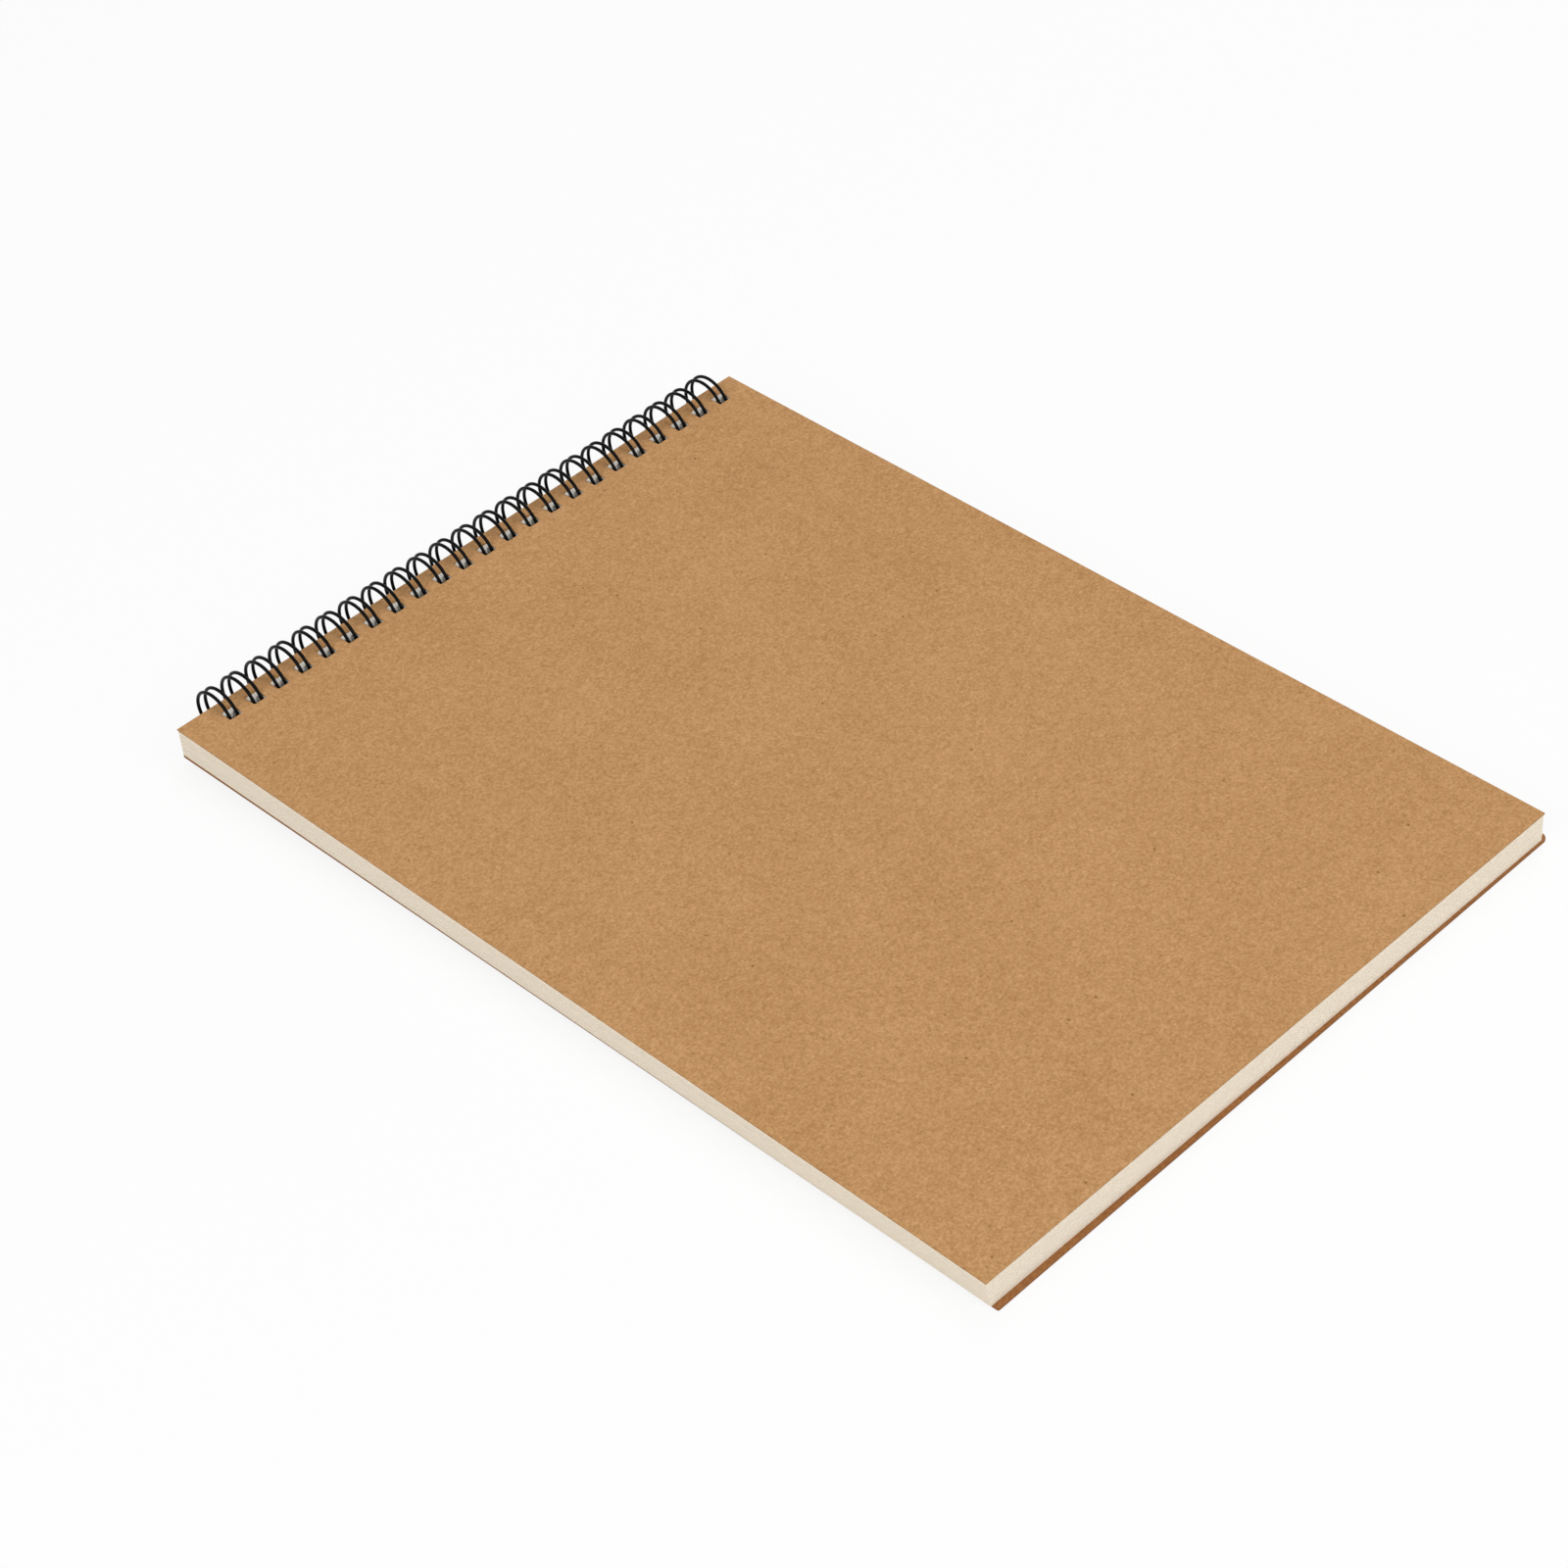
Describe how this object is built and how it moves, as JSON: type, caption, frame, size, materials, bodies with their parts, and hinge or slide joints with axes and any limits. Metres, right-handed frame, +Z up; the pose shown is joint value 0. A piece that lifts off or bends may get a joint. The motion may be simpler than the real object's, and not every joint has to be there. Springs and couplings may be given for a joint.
{
  "type": "sketchbook",
  "caption": "Top-bound sketchbook with kraft covers and cream pages on a black twin-loop wire; every bundle of pages and both covers turn about the wire.",
  "frame": {"origin": "under the middle of the closed book, halfway between the back cover's fore edge and the outside of the wire, at the level of the lowest point of the wire", "axes": "+X along the bound edge, +Y towards the binding, +Z up through the front cover"},
  "size_m": [0.21, 0.3071, 0.0171],
  "materials": {
    "front_kraft": "uncoated kraft card, matt, finely speckled with fibres",
    "page_paper": "uncoated drawing paper, warm off-white",
    "back_kraft": "uncoated kraft board, matt, a little darker than the front",
    "black_wire": "black nylon-coated steel wire, satin gloss"
  },
  "bodies": {
    "back_cover": {"back_cover": "back_kraft"},
    "page_bundle_12": {"page_bundle_12": "page_paper"},
    "page_bundle_11": {"page_bundle_11": "page_paper"},
    "page_bundle_10": {"page_bundle_10": "page_paper"},
    "page_bundle_09": {"page_bundle_09": "page_paper"},
    "page_bundle_08": {"page_bundle_08": "page_paper"},
    "page_bundle_07": {"page_bundle_07": "page_paper"},
    "page_bundle_06": {"page_bundle_06": "page_paper"},
    "page_bundle_05": {"page_bundle_05": "page_paper"},
    "page_bundle_04": {"page_bundle_04": "page_paper"},
    "page_bundle_03": {"page_bundle_03": "page_paper"},
    "page_bundle_02": {"page_bundle_02": "page_paper"},
    "page_bundle_01": {"page_bundle_01": "page_paper"},
    "front_cover": {"front_cover": "front_kraft"},
    "twin_loop_wire": {"twin_loop_wire": "black_wire"}
  },
  "joints": [
    {"name": "page_bundle_12_turn", "type": "hinge", "parent": "back_cover", "child": "page_bundle_12", "pos_m": [0, 0.14502, 0.00857], "axis": [-1, 0, 0], "range_deg": [0, 180]},
    {"name": "page_bundle_11_turn", "type": "hinge", "parent": "page_bundle_12", "child": "page_bundle_11", "pos_m": [0, 0.14502, 0.00857], "axis": [-1, 0, 0], "range_deg": [0, 180]},
    {"name": "page_bundle_10_turn", "type": "hinge", "parent": "page_bundle_11", "child": "page_bundle_10", "pos_m": [0, 0.14502, 0.00857], "axis": [-1, 0, 0], "range_deg": [0, 180]},
    {"name": "page_bundle_09_turn", "type": "hinge", "parent": "page_bundle_10", "child": "page_bundle_09", "pos_m": [0, 0.14502, 0.00857], "axis": [-1, 0, 0], "range_deg": [0, 180]},
    {"name": "page_bundle_08_turn", "type": "hinge", "parent": "page_bundle_09", "child": "page_bundle_08", "pos_m": [0, 0.14502, 0.00857], "axis": [-1, 0, 0], "range_deg": [0, 180]},
    {"name": "page_bundle_07_turn", "type": "hinge", "parent": "page_bundle_08", "child": "page_bundle_07", "pos_m": [0, 0.14502, 0.00857], "axis": [-1, 0, 0], "range_deg": [0, 180]},
    {"name": "page_bundle_06_turn", "type": "hinge", "parent": "page_bundle_07", "child": "page_bundle_06", "pos_m": [0, 0.14502, 0.00857], "axis": [-1, 0, 0], "range_deg": [0, 180]},
    {"name": "page_bundle_05_turn", "type": "hinge", "parent": "page_bundle_06", "child": "page_bundle_05", "pos_m": [0, 0.14502, 0.00857], "axis": [-1, 0, 0], "range_deg": [0, 180]},
    {"name": "page_bundle_04_turn", "type": "hinge", "parent": "page_bundle_05", "child": "page_bundle_04", "pos_m": [0, 0.14502, 0.00857], "axis": [-1, 0, 0], "range_deg": [0, 180]},
    {"name": "page_bundle_03_turn", "type": "hinge", "parent": "page_bundle_04", "child": "page_bundle_03", "pos_m": [0, 0.14502, 0.00857], "axis": [-1, 0, 0], "range_deg": [0, 180]},
    {"name": "page_bundle_02_turn", "type": "hinge", "parent": "page_bundle_03", "child": "page_bundle_02", "pos_m": [0, 0.14502, 0.00857], "axis": [-1, 0, 0], "range_deg": [0, 180]},
    {"name": "page_bundle_01_turn", "type": "hinge", "parent": "page_bundle_02", "child": "page_bundle_01", "pos_m": [0, 0.14502, 0.00857], "axis": [-1, 0, 0], "range_deg": [0, 180]},
    {"name": "front_cover_turn", "type": "hinge", "parent": "page_bundle_01", "child": "front_cover", "pos_m": [0, 0.14502, 0.00857], "axis": [-1, 0, 0], "range_deg": [0, 180]},
    {"name": "twin_loop_wire_turn", "type": "hinge", "parent": "back_cover", "child": "twin_loop_wire", "pos_m": [0, 0.14502, 0.00857], "axis": [-1, 0, 0], "range_deg": [-30, 15]}
  ]
}
